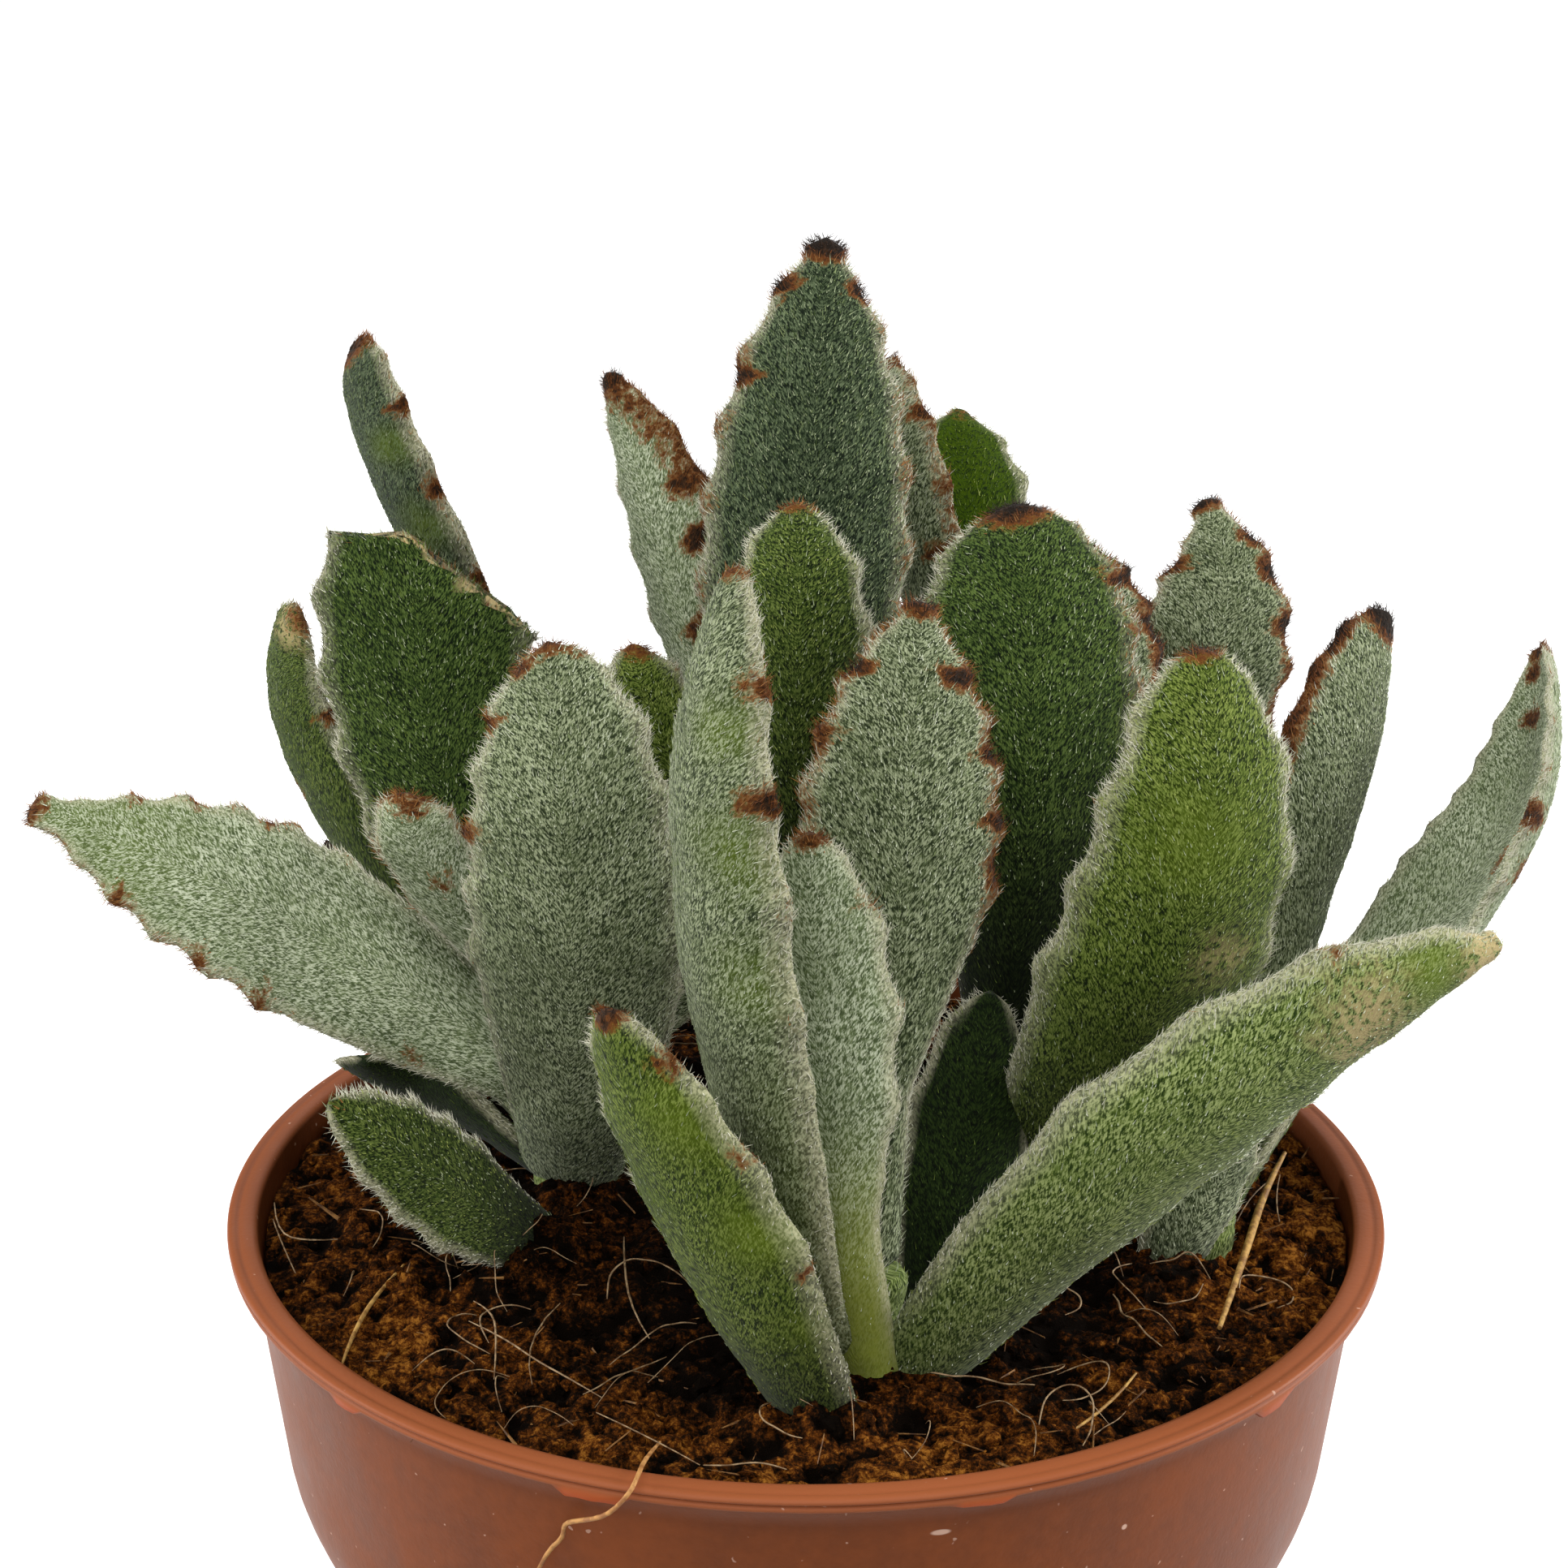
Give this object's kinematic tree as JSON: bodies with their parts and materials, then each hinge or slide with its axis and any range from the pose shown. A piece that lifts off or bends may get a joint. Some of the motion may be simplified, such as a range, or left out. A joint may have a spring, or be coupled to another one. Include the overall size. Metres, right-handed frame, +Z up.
{
  "type": "potted succulent plant",
  "caption": "Panda plant, a low succulent with furry grey-green leaves and brown-toothed edges, in a shallow brown plastic pot of soil.",
  "frame": {"origin": "middle of the pot's foot, on the surface it stands on", "axes": "+Z up; -Y towards the plant's front; +X to the right of the front"},
  "size_m": [0.1466, 0.1201, 0.1479],
  "materials": {
    "plastic": "semi-matt brown injection-moulded plastic",
    "soil": "rough, crumbly peat and coir",
    "fibre": "dry, matt straw and root",
    "stem": "short fur",
    "leaf": "dense silvery fur over a fleshy green blade, rust-brown teeth"
  },
  "bodies": {
    "root": {"pot": "plastic", "soil": "soil", "straw_right": "fibre", "straw_left": "fibre", "straw_front": "fibre", "root_over_rim": "fibre", "stem_front": "stem", "stem_left": "stem", "stem_right": "stem", "stem_middle": "stem", "stem_back_left": "stem", "stem_back_right": "stem", "stem_far_right": "stem", "leaf_front_tall": "leaf", "leaf_front_small": "leaf", "leaf_front_left": "leaf", "leaf_low_right": "leaf", "leaf_red_margin": "leaf", "leaf_shaded": "leaf", "leaf_right_big": "leaf", "leaf_right_front": "leaf", "leaf_middle_front": "leaf", "leaf_middle_tall": "leaf", "leaf_left_front": "leaf", "leaf_left_big": "leaf", "leaf_left_low": "leaf", "leaf_left_small": "leaf", "leaf_left_back": "leaf", "leaf_left_far": "leaf", "leaf_left_dark": "leaf", "leaf_rust_edge": "leaf", "leaf_middle_small": "leaf", "leaf_back_left_tall": "leaf", "leaf_behind_middle": "leaf", "leaf_bright_back": "leaf", "leaf_behind_right": "leaf", "leaf_back_right_blue": "leaf", "leaf_dark_tip": "leaf", "leaf_far_right_channel": "leaf", "leaf_right_low": "leaf", "leaf_back_low_left": "leaf", "leaf_back_upright": "leaf", "leaf_back_middle": "leaf", "leaf_back_right_upright": "leaf", "leaf_back_low_right": "leaf", "leaf_back_small": "leaf", "leaf_back_centre": "leaf", "leaf_back_left_upright": "leaf", "leaf_back_inner": "leaf", "leaf_right_inner": "leaf", "leaf_side_left": "leaf", "leaf_side_right": "leaf"}
  },
  "joints": []
}
